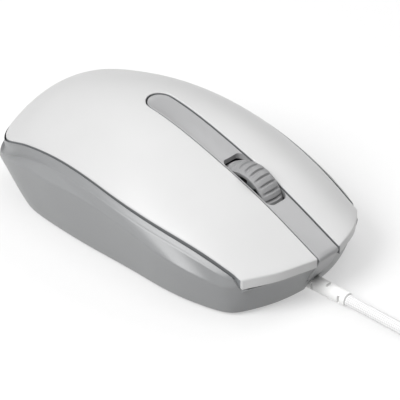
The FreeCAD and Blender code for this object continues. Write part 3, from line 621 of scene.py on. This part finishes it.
def build_cover():
    """The white cover with its rounded edge, as two halves that meet on the middle plane."""
    chain = cover_outline()
    rings = [(offset(chain, EDGE_RADIUS * (1 - sin(a))), EDGE_RADIUS * (1 - cos(a)))
             for a in np.linspace(0, pi / 2, EDGE_STEPS)][::-1]
    inner = rings[-1][0]
    pitch = 1.4
    middle = np.arange(inner[-1, 1] - pitch, inner[0, 1] + 0.4, -pitch)
    middle = np.column_stack([np.zeros(len(middle)), middle])
    loop = np.concatenate([inner, middle])
    across, along = np.meshgrid(np.arange(pitch, 34, pitch), np.arange(-57, 58, pitch))
    spots = np.column_stack([across.ravel(), along.ravel()])
    spots = spots[within(spots, loop)]
    clear = np.array([np.linalg.norm(loop - spot, axis=1).min() > 0.75 for spot in spots])
    spots = spots[clear]
    plan = np.concatenate([loop, spots])
    edges = [(i, (i + 1) % len(loop)) for i in range(len(loop))]
    flat, _, triangles, _, _, _ = delaunay_2d_cdt(
        [Vector(p) for p in plan], edges, [], 1, 1e-6)
    flat = np.array([tuple(p) for p in flat])

    def lifted(points, drop):
        return np.column_stack([points, crown(points[:, 0], points[:, 1]) - drop])

    def underneath(points):
        slope_x, slope_y = crown_slope(points[:, 0], points[:, 1])
        thick = COVER_THICK + 0.4 * np.clip((points[:, 1] - 44) / 6, 0, 1)
        return lifted(points, thick * np.sqrt(1 + slope_x ** 2 + slope_y ** 2))

    top = lifted(flat, 0)
    bottom = underneath(flat)
    bands = [lifted(points, drop) for points, drop in rings]
    lean = np.column_stack([np.zeros(len(chain)), np.clip(chain[:, 1] - 46, 0, 4) * -0.06])
    skirt = underneath(chain)
    skirt[:, :2] += lean * (chain[:, 0] > SLOT_HALF + 0.3)[:, None]
    bands = [underneath(inner), skirt] + bands
    points = [top, bottom] + bands
    starts = np.cumsum([0] + [len(block) for block in points])
    faces = [list(t) for t in triangles]
    faces += [[i + starts[1] for i in t] for t in triangles]
    long = len(chain)
    for k in range(2, len(points) - 1):
        faces += [(starts[k] + i, starts[k] + i + 1, starts[k + 1] + i + 1, starts[k + 1] + i)
                  for i in range(long - 1)]
    # The middle wall joins the two halves where nothing shows.
    for end in (0, long - 1):
        faces.append([starts[k] + end for k in range(2, len(points))])
    wall = np.array([inner[-1], *middle, inner[0]])
    upper, lower = lifted(wall, 0), underneath(wall)
    wall_start = starts[-1]
    points += [upper, lower]
    faces += [(wall_start + i, wall_start + i + 1, wall_start + len(wall) + i + 1,
               wall_start + len(wall) + i) for i in range(len(wall) - 1)]
    everything = np.concatenate(points)
    # Below its rounded edge the cover's wall takes the dark grey ABS: painted shade for the deep
    # gaps round the cover.
    wall_first = 2 * len(triangles) + long - 1
    wall_last = wall_first + long - 1
    gap_painted_shade = [not (chain[i, 1] > 46.3 and chain[i, 0] > SLOT_HALF + 0.3)
              for i in range(long - 1)]
    for side, body in ((1, "right_key"), (-1, "left_key")):
        half = new_mesh(f"cover_{body}_half", everything * (side, 1, 1), faces)
        wear(half, white_abs, hub_abs)
        # Painted shade: the dark slot goes on the wall faces in the gaps, not on the keys' front
        # lips.
        for face, dark in zip(list(half.data.polygons)[wall_first:wall_last], gap_painted_shade):
            face.material_index = int(dark)
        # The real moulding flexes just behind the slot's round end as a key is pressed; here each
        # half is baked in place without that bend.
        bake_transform(half)
        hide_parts(body, "top_cover")


# ---------------------------------------------------------------- strip

def build_strip():
    tip = SLOT_END - STRIP_HALF
    ease = 1 - np.cos(np.linspace(0, pi / 2, 22))
    along = np.concatenate([tip + STRIP_HALF * ease, np.linspace(SLOT_END, 55.6, 60)[1:]])
    top = [(y, float(crown(0, y)) - STRIP_SINK) for y in along]
    nose = [(56.6, 15.3), (57.0, 14.9), (57.15, 14.4), (56.9, 13.8), (56.5, 12.9),
            (56.0, 12.0), (55.3, 10.6), (54.5, 9.0), (53.7, 7.4), (53.2, 6.4)]
    path = np.array(top + nose)
    heading = np.gradient(path, axis=0)
    heading /= np.linalg.norm(heading, axis=1)[:, None]
    normal = np.column_stack([-heading[:, 1], heading[:, 0]])
    half = np.where(path[:, 0] < SLOT_END,
                    np.sqrt(np.maximum(STRIP_HALF ** 2 - (path[:, 0] - SLOT_END) ** 2, 0.0)),
                    STRIP_HALF)
    half[len(top):] = STRIP_HALF
    radius = 0.35
    shares = np.sin(np.linspace(-pi / 2, pi / 2, 25))
    rows = []
    for (y, z), (ny, nz), wide, index in zip(path, normal, half, range(len(path))):
        on_top = index < len(top)
        fade = min(1, max(0, (52 - y) / 40)) if on_top else 0
        row = []
        for share in shares:
            x = wide * share
            edge = max(0, abs(x) - (wide - radius)) / radius if wide > radius else 0
            dish = 0.75 * fade * max(0, 1 - share ** 2) * min(1, wide / STRIP_HALF)
            sink = dish + radius * (1 - sqrt(max(0, 1 - min(edge, 1) ** 2)))
            tilt = float(crown(x, y) - crown(0, y)) if on_top else 0
            row.append((x, y - ny * sink, z + tilt - nz * sink))
        for share in shares[::-1]:
            row.append((wide * share, y - ny * STRIP_THICK, z - nz * STRIP_THICK))
        rows.append(row)
    count = len(rows[0])
    faces = grid_faces(len(rows), count, wrap_columns=True)
    faces += [tuple(range(count)), tuple(range((len(rows) - 1) * count, len(rows) * count))]
    strip = new_mesh("strip_between_keys", np.array(rows).reshape(-1, 3), faces, 50)
    window = rounded_plan(WINDOW_HALF, WINDOW_REACH, 2.0, (0, WINDOW_AHEAD), 14)
    carve(strip, [prism("wheel_window", window, 10, 45)], 50)
    wear(strip, strip_abs)
    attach(strip, "root")
    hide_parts("centre_strip")


# ---------------------------------------------------------------- wheel

def build_wheel():
    across = np.linspace(-1, 1, 25)
    outer = [(TYRE_HALF * t, WHEEL_RADIUS - 1.3 * abs(t) ** 2.4) for t in across]
    profile = outer + [(TYRE_HALF * 0.93, WHEEL_RADIUS - 2.0), (TYRE_HALF * 0.85, TYRE_BORE),
                       (-TYRE_HALF * 0.85, TYRE_BORE), (-TYRE_HALF * 0.93, WHEEL_RADIUS - 2.0)]

    def ribbed(along, radius, angle):
        share = min(1, max(0, (0.93 - abs(along) / TYRE_HALF) / 0.35))
        wave = 0.5 + 0.5 * cos(angle * TREADS)
        groove = max(0, 1 - wave * 2.2) ** 0.8
        return radius - 0.55 * groove * share if radius > TYRE_BORE + 0.9 else radius

    tyre = lathe("wheel_ribbed_tyre", profile, (0, WHEEL_AHEAD, WHEEL_UP), (1, 0, 0),
                 TREADS * 16, ribbed)
    wear(tyre, tyre_tpe)
    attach(tyre, "wheel")
    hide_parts("wheel_tyre")


def build_spring():
    """The carrier's return spring, built at one length; the real one shortens as the wheel is
    pressed.
    """
    wire, radius, turns, low, high = 0.22, 1.6, 5, 8.68, 15.56
    path = [(radius * cos(tau * turns * t), radius * sin(tau * turns * t),
             low + (high - low) * t) for t in np.linspace(0, 1, 24 * turns + 1)]
    path = np.array(path) + (11.8, 31.0, 0)
    along = np.gradient(path, axis=0)
    along /= np.linalg.norm(along, axis=1)[:, None]
    first = np.cross(along, (0, 0, 1))
    first /= np.linalg.norm(first, axis=1)[:, None]
    second = np.cross(along, first)
    rows = [here + wire * (np.cos(turn)[:, None] * a + np.sin(turn)[:, None] * b)
            for here, a, b in zip(path, first, second)
            for turn in [np.linspace(0, tau, 10, endpoint=False)]]
    faces = grid_faces(len(rows), 10, wrap_columns=True)
    faces += [tuple(range(10)), tuple(range((len(rows) - 1) * 10, len(rows) * 10))]
    spring = new_mesh("carrier_return_spring", np.array(rows).reshape(-1, 3), faces, 60)
    wear(spring, spring_steel)
    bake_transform(spring)
    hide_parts("carrier_spring")


# ---------------------------------------------------------------- cord

# Points of the cord from the strain relief to the coil, and from the coil to the plug.
CORD_ROUTE = [(0, 64.2, 3.3), (-0.4, 74.5, 2.8), (-0.9, 85, 2.1), (1.6, 94, 1.75),
              (6.7, 100.8, 1.9), (9.96, 108.78, 2.2)]
TAIL_ROUTE = [(-24.16, 141.73, 5.4), (-33.5, 141, 5.1), (-43.5, 137.8, 4.3),
              (-51.5, 131.8, 3.6), (-56.2, 123.7, 3.6), (-57, 115, 4)]
COIL_CENTRE, COIL_LEVELS = (-17.0, 115.0), (2.2, 5.4)
COIL_OUTER, COIL_INNER, COIL_START, COIL_END = 27.67, 10.35, -13.0, 105.0
COIL_TURNS = 11 + (COIL_END - COIL_START) / 360
POINTS_PER_TURN = 18


def coil_points():
    """Inward on the floor, half a turn up, and outward on top."""
    climb = 0.5
    layer = (COIL_TURNS - climb) / 2
    steps = int(COIL_TURNS * POINTS_PER_TURN)
    points = []
    for step in range(1, steps):
        turn = COIL_TURNS * step / steps
        if turn < layer:
            share, rise = turn / layer, 0
        elif turn < layer + climb:
            share, rise = 1, (turn - layer) / climb
        else:
            share, rise = (COIL_TURNS - turn) / layer, 1
        radius = COIL_OUTER + (COIL_INNER - COIL_OUTER) * share
        rise = rise * rise * (3 - 2 * rise)
        angle = radians(COIL_START) + tau * turn
        points.append((COIL_CENTRE[0] + radius * cos(angle),
                       COIL_CENTRE[1] + radius * sin(angle),
                       COIL_LEVELS[0] + (COIL_LEVELS[1] - COIL_LEVELS[0]) * rise))
    return points


def build_cord():
    line = bpy.data.curves.new("cord_to_plug", "CURVE")
    line.dimensions = "3D"
    line.bevel_depth = CORD_DIAMETER / 2 * MM
    line.bevel_resolution = 6
    line.resolution_u = 5
    line.use_fill_caps = True
    points = CORD_ROUTE + coil_points() + TAIL_ROUTE
    run = line.splines.new("NURBS")
    run.points.add(len(points) - 1)
    for point, place in zip(run.points, points):
        point.co = (*[length * MM for length in place], 1)
    run.order_u = 3
    run.use_endpoint_u = True
    cord = bpy.data.objects.new("cord_to_plug", line)
    bpy.context.scene.collection.objects.link(cord)
    line.materials.append(cord_sleeve)
    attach(cord, "root")
    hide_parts("cord_run", "cord_tail", "cord_coil")


RELIEF_REAR, COLLAR_END, COLLAR_RADIUS = 46.3, 49.0, 2.15
RELIEF_TAPER, RELIEF_ROUND = 0.07, 0.35
SLITS = [(52.9, 0), (57.6, pi / 2), (62.3, 0)]             # how far ahead, and the turn
SLIT_HALF, SLIT_REACH, SLIT_DEEP = 0.36, 0.86, 0.75


def relief_radius(along):
    """A plain collar inside the case, then a taper with a rounded end."""
    if along <= COLLAR_END:
        return COLLAR_RADIUS
    share = (along - COLLAR_END) / (RELIEF_END - COLLAR_END)
    past = max(0, along - (RELIEF_END - RELIEF_ROUND))
    return (RELIEF_RADIUS * (1 - RELIEF_TAPER * share) - RELIEF_ROUND
            + sqrt(max(0, RELIEF_ROUND ** 2 - past ** 2)))


def build_relief():
    """The bend relief: a round sleeve with slits in turn at its sides and top."""
    stations = np.concatenate([np.linspace(RELIEF_REAR, COLLAR_END - 0.1, 4),
                               np.linspace(COLLAR_END, RELIEF_END, 130)])

    def slit(along, radius, angle):
        if radius < 0.2 or along < COLLAR_END:
            return radius
        for ahead, turn in SLITS:
            if abs(along - ahead) < SLIT_HALF and abs(sin(angle - turn)) >= SLIT_REACH:
                return radius - SLIT_DEEP
        return radius

    centre = 0.05                                           # the ends close onto the axis
    profile = [(RELIEF_REAR, centre)]
    profile += [(along, relief_radius(along)) for along in stations]
    profile.append((RELIEF_END, centre))
    sleeve = lathe("strain_relief_sleeve", profile, (0, 0, CORD_LEVEL), (0, 1, 0), 72, slit)
    wear(sleeve, white_pvc)
    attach(sleeve, "root")
    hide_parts("strain_relief")


# ---------------------------------------------------------------- finishes of CAD nodes

NODE_FINISHES = {
    glide_ptfe: ["foot_front", "foot_rear"],
    label_film: ["rating_label"],
    zinc_steel: ["case_screw", "board_screws"],
    board_resist: ["main_board"],
    switch_pbt: ["left_switch", "right_switch", "middle_switch", "cord_socket", "lamp_clip"],
    plunger_acetal: ["left_plunger", "right_plunger", "middle_plunger"],
    chip_epoxy: ["sensor_chip", "resistors", "wheel_emitter", "wheel_receiver"],
    lens_pc: ["sensor_lens"],
    lamp_epoxy: ["sensor_lamp"],
    can_aluminium: ["capacitor"],
    nylon_natural: ["socket_plug"],
    hub_abs: ["wheel_hub", "wheel_carrier"],
    white_pvc: ["inner_lead", "plug_grip"],
    nylon_white: ["coil_tie"],
    nickel_steel: ["plug_shell"],
    tongue_lcp: ["plug_tongue"],
    gold_flash: ["plug_contacts"],
}


def finish_nodes():
    for one, names in NODE_FINISHES.items():
        for name in names:
            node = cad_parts[name]
            if node.material_slots:
                for slot in node.material_slots:
                    slot.material = one
            else:
                node.data.materials.append(one)


# ---------------------------------------------------------------- stage

def build_stage():
    floor = bpy.data.meshes.new("table_top")
    floor.from_pydata([(-4, -4, 0), (4, -4, 0), (4, 4, 0), (-4, 4, 0)], [], [(0, 1, 2, 3)])
    table = bpy.data.objects.new("table_top", floor)
    bpy.context.scene.collection.objects.link(table)
    made, tree, place = start("paper_white_backdrop")
    fibre = grain(tree, place, 3.0)
    diffuse = add(tree, "ShaderNodeBsdfDiffuse", {
        "Color": tinted(tree, fibre, "#F7F7F7", 0.99, 1.0), "Roughness": 0.5})
    glow = add(tree, "ShaderNodeEmission", {"Color": (1, 1, 1, 1), "Strength": 0.80})
    both = add(tree, "ShaderNodeMixShader", {
        "Fac": 0.58, 1: diffuse.outputs[0], 2: glow.outputs[0]})
    add(tree, "ShaderNodeOutputMaterial", {"Surface": both.outputs[0]})
    wear(table, made)


def build_lights():
    world = bpy.data.worlds.new("studio")
    bpy.context.scene.world = world
    world.use_nodes = True
    world.node_tree.nodes["Background"].inputs["Color"].default_value = (1, 1, 1, 1)
    world.node_tree.nodes["Background"].inputs["Strength"].default_value = 0.02
    for name, turn, lift, wide, power in (
            ("softbox_right_side", -4, 45, 0.5, 9.0),
            ("softbox_low_rear", -30, 25, 0.5, 1.2),
            ("softbox_far_side", 180, 40, 0.6, 4.4),
            ("softbox_far_front", 140, 65, 0.6, 1.1),
            ("softbox_front", 43, 60, 0.6, 1.0),
            ("softbox_overhead", -60, 85, 0.8, 3.8)):
        turn, lift = radians(turn), radians(lift)
        place = Vector((cos(turn) * cos(lift), sin(turn) * cos(lift), sin(lift)))
        lamp = bpy.data.lights.new(name, "AREA")
        lamp.size, lamp.energy = wide, power
        box = bpy.data.objects.new(name, lamp)
        bpy.context.scene.collection.objects.link(box)
        box.location = place
        box.rotation_euler = (-place).to_track_quat("-Z", "Y").to_euler()


def build_camera():
    """A long lens from the front right, 33 degrees up."""
    turn, lift, roll, away = 0.756240, 0.575666, 0.001665, 0.600
    target = Vector((5.508, 14.285, 15.8)) * MM
    look = -Vector((cos(turn) * cos(lift), sin(turn) * cos(lift), sin(lift)))
    right = look.cross(Vector((0, 0, 1))).normalized()
    up = right.cross(look)
    right, up = right * cos(roll) + up * sin(roll), up * cos(roll) - right * sin(roll)
    data = bpy.data.cameras.new("camera")
    data.sensor_width, data.lens = 36.0, 193.54
    data.clip_start, data.clip_end = 0.01, 20
    camera = bpy.data.objects.new("camera", data)
    bpy.context.scene.collection.objects.link(camera)
    camera.matrix_world = Matrix.Translation(target - look * away) @ Matrix(
        (right, up, -look)).transposed().to_4x4()
    bpy.context.scene.camera = camera
    bpy.context.scene.view_settings.view_transform = "Standard"


build_lower_case()
build_cover()
build_strip()
build_wheel()
build_relief()
build_spring()
build_cord()
finish_nodes()
build_stage()
build_lights()
build_camera()
